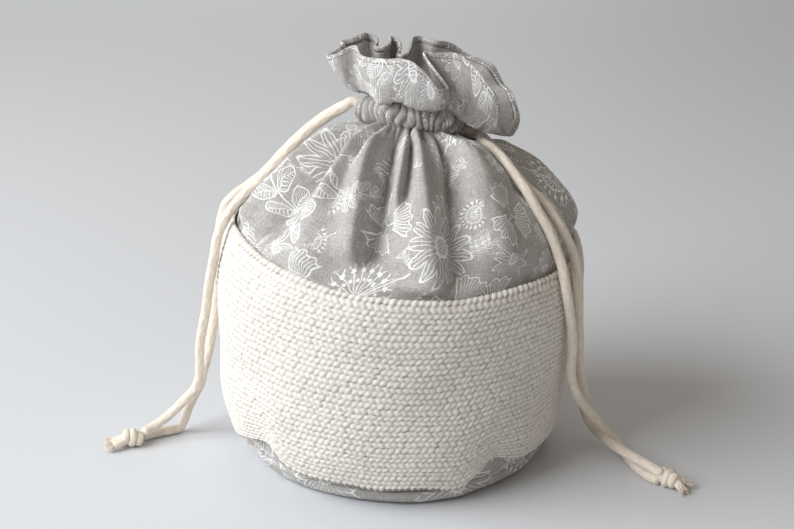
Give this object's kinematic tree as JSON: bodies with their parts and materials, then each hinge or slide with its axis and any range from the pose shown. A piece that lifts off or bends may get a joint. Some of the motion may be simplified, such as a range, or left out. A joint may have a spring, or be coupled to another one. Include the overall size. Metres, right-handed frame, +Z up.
{
  "type": "round drawstring storage bag",
  "caption": "Round soft storage bag: a thick knitted band round a canvas bag, gathered to a neck below an open ruffle by a knotted drawstring at each side.",
  "frame": {"origin": "middle of the flat bottom, on the surface that it stands on", "axes": "+Z up through the bag, -Y towards its front, +X towards the right drawstring"},
  "size_m": [0.2907, 0.184, 0.2094],
  "materials": {
    "printed_canvas": "matt woven cotton canvas with a pale printed pattern",
    "plain_canvas": "matt woven cotton canvas",
    "knit_cotton": "matt chunky knitted cotton",
    "lining_cotton": "matt plain cotton",
    "wadding": "soft matt wadding",
    "cord_cotton": "matt braided cotton cord"
  },
  "bodies": {
    "bag": {"base_panel": "plain_canvas", "base_wadding": "wadding", "lining_base": "lining_cotton", "knit_band_front": "knit_cotton", "knit_band_back": "knit_cotton", "canvas_front_panel": "printed_canvas", "canvas_back_panel": "printed_canvas", "facing_front": "plain_canvas", "facing_back": "plain_canvas", "lining_front": "lining_cotton", "lining_back": "lining_cotton", "left_drawstring_loop": "cord_cotton", "right_drawstring_loop": "cord_cotton"},
    "left_drawstring": {"left_cord_front": "cord_cotton", "left_cord_back": "cord_cotton", "left_knot": "cord_cotton"},
    "right_drawstring": {"right_cord_front": "cord_cotton", "right_cord_back": "cord_cotton", "right_knot": "cord_cotton"}
  },
  "joints": [
    {"name": "left_drawstring_pull", "type": "slide", "parent": "bag", "child": "left_drawstring", "axis": [-1, 0, 0], "range_m": [0, 0.012]},
    {"name": "right_drawstring_pull", "type": "slide", "parent": "bag", "child": "right_drawstring", "axis": [1, 0, 0], "range_m": [0, 0.012]}
  ]
}
